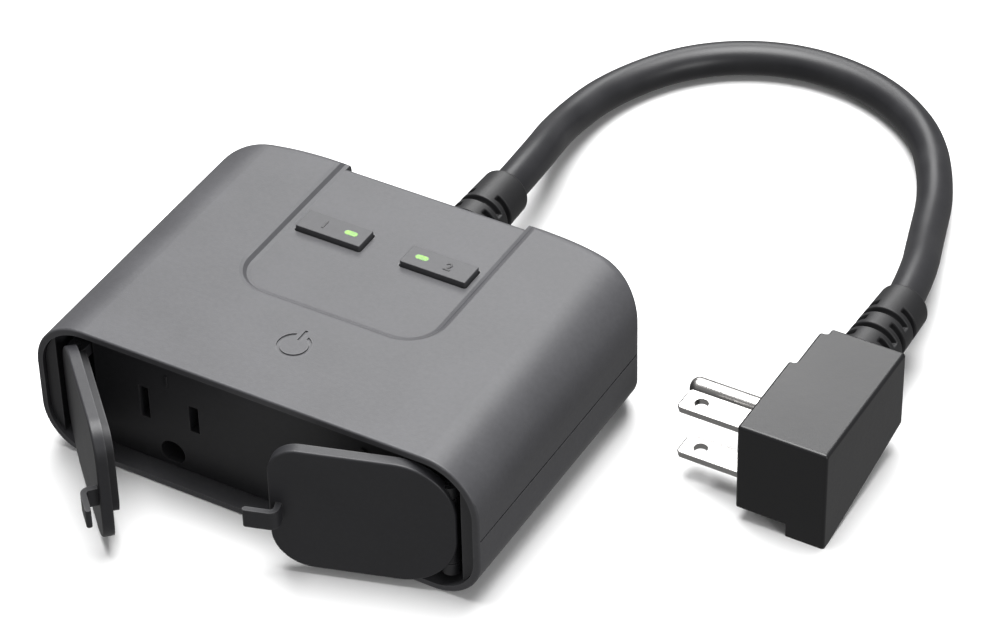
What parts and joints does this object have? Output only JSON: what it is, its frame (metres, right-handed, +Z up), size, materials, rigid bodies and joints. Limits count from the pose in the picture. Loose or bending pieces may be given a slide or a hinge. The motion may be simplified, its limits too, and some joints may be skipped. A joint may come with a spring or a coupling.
{
  "type": "smart plug",
  "caption": "Outdoor smart plug: flat rounded housing with two hinged outlet covers, push buttons with status lights, a short stiff cord and a flat angled mains plug.",
  "frame": {"origin": "on the flat underside of the housing, on its middle line, 37 mm behind the rim around the outlets", "axes": "+Z up, +Y from the outlets towards the cord, +X to the right when facing the outlets"},
  "size_m": [0.165, 0.236, 0.0362],
  "materials": {
    "housing": "fine-textured dark grey moulding",
    "face": "near-black moulding",
    "cover": "near-black satin moulding",
    "seal": "black silicone",
    "button": "satin dark grey",
    "light": "clear green light guide",
    "cord_jacket": "smooth dark grey jacket",
    "plug_shell": "black satin moulding",
    "nickel": "polished nickel plate",
    "contact_metal": "bare spring brass",
    "carrier": "natural nylon",
    "board": "green solder mask",
    "component_black": "black component moulding",
    "component_sleeve": "blue shrink sleeve",
    "module_can": "tinned can",
    "steel": "zinc-plated steel",
    "lead_insulation": "coloured lead insulation"
  },
  "bodies": {
    "housing": {"upper_housing": "housing", "lower_housing": "housing", "outlet_face": "face", "housing_seal": "seal", "button_seal_1": "seal", "button_seal_2": "seal", "cord": "cord_jacket", "cord_tail": "cord_jacket", "housing_boot": "cord_jacket", "plug_boot": "cord_jacket", "plug_body": "plug_shell", "plug_core": "plug_shell", "line_blade": "nickel", "neutral_blade": "nickel", "ground_pin": "nickel", "line_contact_1": "contact_metal", "line_contact_2": "contact_metal", "neutral_bus": "contact_metal", "ground_bus": "contact_metal", "outlet_carrier_1": "carrier", "outlet_carrier_2": "carrier", "cord_clamp": "carrier", "power_board": "board", "control_board": "board", "relay_1": "component_black", "relay_2": "component_black", "transformer": "component_black", "fuse": "component_black", "tact_switches": "component_black", "storage_capacitor": "component_sleeve", "surge_absorber": "component_sleeve", "radio_module": "module_can", "status_lights": "module_can", "housing_screws": "steel", "power_board_screws": "steel", "control_board_screws": "steel", "clamp_screws": "steel", "hinge_pin_left": "steel", "hinge_pin_right": "steel", "line_lead": "lead_insulation", "neutral_lead": "lead_insulation", "ground_lead": "lead_insulation", "board_link": "lead_insulation"},
    "left_cover": {"left_cover": "cover", "left_cover_seal": "seal"},
    "right_cover": {"right_cover": "cover", "right_cover_seal": "seal"},
    "button_1": {"button_1": "button", "light_window_1": "light"},
    "button_2": {"button_2": "button", "light_window_2": "light"}
  },
  "joints": [
    {"name": "left_cover_hinge", "type": "hinge", "parent": "housing", "child": "left_cover", "pos_m": [-0.0462, -0.0338, 0.0165], "axis": [0, 0, -1], "range_deg": [-45, 35]},
    {"name": "right_cover_hinge", "type": "hinge", "parent": "housing", "child": "right_cover", "pos_m": [0.0462, -0.0338, 0.0165], "axis": [0, 0, 1], "range_deg": [-17, 63]},
    {"name": "button_1_press", "type": "slide", "parent": "housing", "child": "button_1", "axis": [0, 0, -1], "range_m": [0, 0.0006], "stiffness_N_per_m": 2500},
    {"name": "button_2_press", "type": "slide", "parent": "housing", "child": "button_2", "axis": [0, 0, -1], "range_m": [0, 0.0006], "stiffness_N_per_m": 2500}
  ]
}
